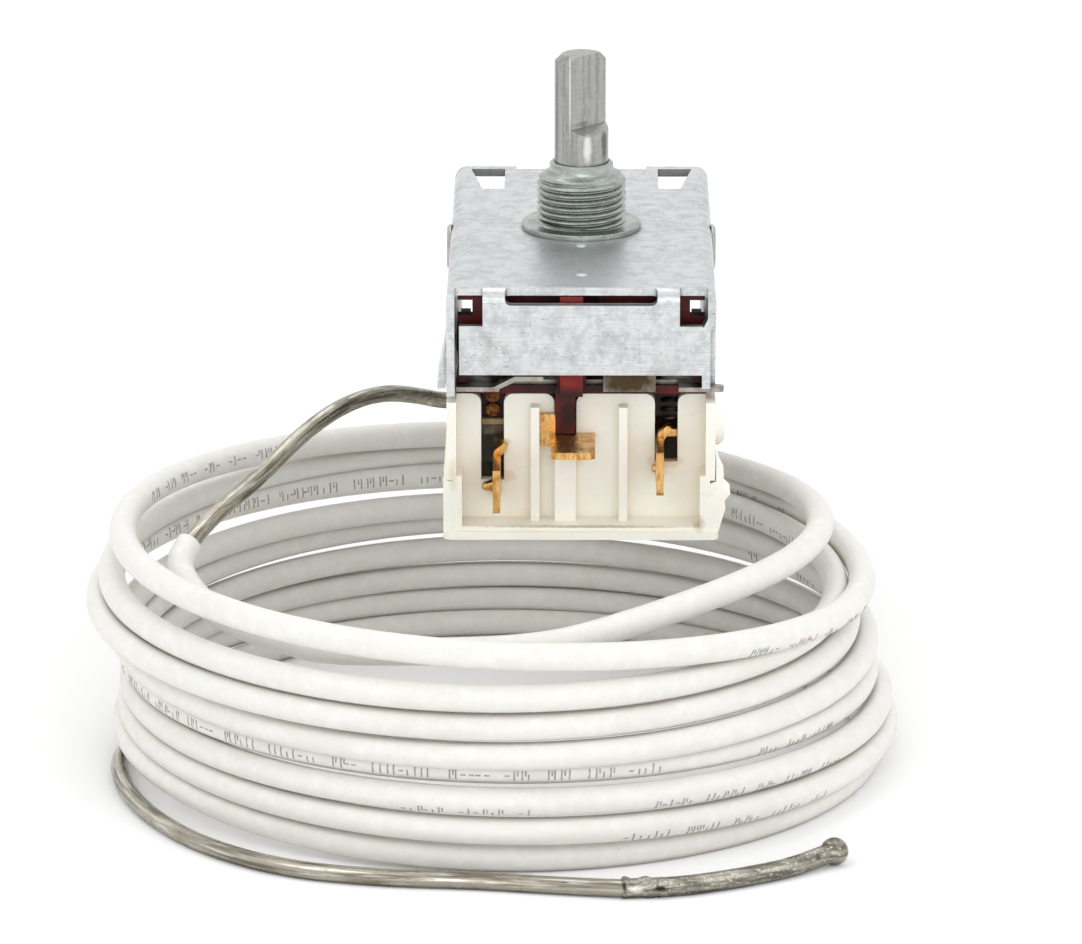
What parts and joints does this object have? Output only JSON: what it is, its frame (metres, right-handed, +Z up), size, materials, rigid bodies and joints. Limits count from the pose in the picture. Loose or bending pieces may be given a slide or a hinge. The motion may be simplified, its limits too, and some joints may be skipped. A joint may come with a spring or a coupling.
{
  "type": "capillary thermostat",
  "caption": "Refrigeration thermostat: steel frame with threaded bush and D spindle, white housing with three blades, and a sleeved capillary wound in a loose coil to a bulb.",
  "frame": {"origin": "on the bush axis at the top face of its flange, which seats against the panel", "axes": "+Z up along the spindle, -Y towards the terminals, +X to the right as seen from the terminals"},
  "size_m": [0.092, 0.0958, 0.0744],
  "materials": {
    "zinc_sheet": "zinc-plated sheet, lightly brushed",
    "zinc_bush": "zinc-plated, turned",
    "spindle_metal": "turned aluminium",
    "steel": "plain spring or mild steel",
    "brass": "bare brass, a little tarnished",
    "copper": "bare copper alloy",
    "red_phenolic": "dark red moulded phenolic",
    "white_nylon": "ivory white moulded nylon",
    "fibre": "tan vulcanised fibre",
    "capillary_metal": "bare drawn tube, tarnished",
    "white_sleeve": "white extruded sleeving"
  },
  "bodies": {
    "case": {"frame_bracket": "zinc_sheet", "threaded_bush": "zinc_bush", "spindle_bridge": "steel", "follower_pin": "steel", "pivot_studs": "steel", "stop_screw": "brass", "switch_base": "red_phenolic", "retaining_strip": "steel", "terminal_housing": "white_nylon", "bottom_cover": "white_nylon", "terminal_left": "brass", "terminal_right": "brass", "terminal_centre": "brass", "fixed_contact": "copper", "contact_rivets": "copper", "insulating_strip": "fibre", "contact_clip": "steel", "toggle_spring": "steel", "bellows_cup": "steel", "element_cover": "steel", "capillary_ferrule": "copper", "capillary_lead": "capillary_metal", "sleeve_lead": "white_sleeve", "sleeve_coil": "white_sleeve", "capillary_tail": "capillary_metal", "sensing_bulb": "capillary_metal"},
    "control_spindle": {"spindle": "spindle_metal", "range_cam": "steel", "retaining_ring": "steel"},
    "follower": {"cam_follower": "steel", "range_screw": "steel", "range_nut": "brass"},
    "lever": {"main_lever": "steel", "insulating_pusher": "red_phenolic", "range_spring": "steel"},
    "bellows_head": {"plunger": "brass", "bellows": "brass"},
    "leaf": {"contact_leaf": "copper", "moving_contact": "copper"}
  },
  "joints": [
    {"name": "spindle_turn", "type": "hinge", "parent": "case", "child": "control_spindle", "pos_m": [0, 0, 0], "axis": [0, 0, 1], "range_deg": [0, 205]},
    {"name": "follower_swing", "type": "hinge", "parent": "case", "child": "follower", "pos_m": [-0.0079, -0.0115, -0.0036], "axis": [0, 0, 1], "range_deg": [-10.2, 0.05], "deforming": ["range_spring"]},
    {"name": "lever_tilt", "type": "hinge", "parent": "case", "child": "lever", "pos_m": [0, 0.003, -0.0038], "axis": [1, 0, 0], "range_deg": [-0.05, 3.05]},
    {"name": "bellows_rise", "type": "slide", "parent": "case", "child": "bellows_head", "axis": [0, 0, 1], "range_m": [0, 0.000576], "stiffness_N_per_m": 200, "deforming": ["bellows"]},
    {"name": "leaf_bend", "type": "hinge", "parent": "case", "child": "leaf", "pos_m": [0, -0.006, -0.01645], "axis": [1, 0, 0], "range_deg": [-0.05, 6.42]}
  ],
  "couplings": [
    {"joint": "follower_swing", "follows": "spindle_turn", "ratio": -0.04953},
    {"joint": "lever_tilt", "follows": "bellows_rise", "rad_per_m": 90.909},
    {"joint": "leaf_bend", "follows": "bellows_rise", "rad_per_m": 193.18}
  ]
}
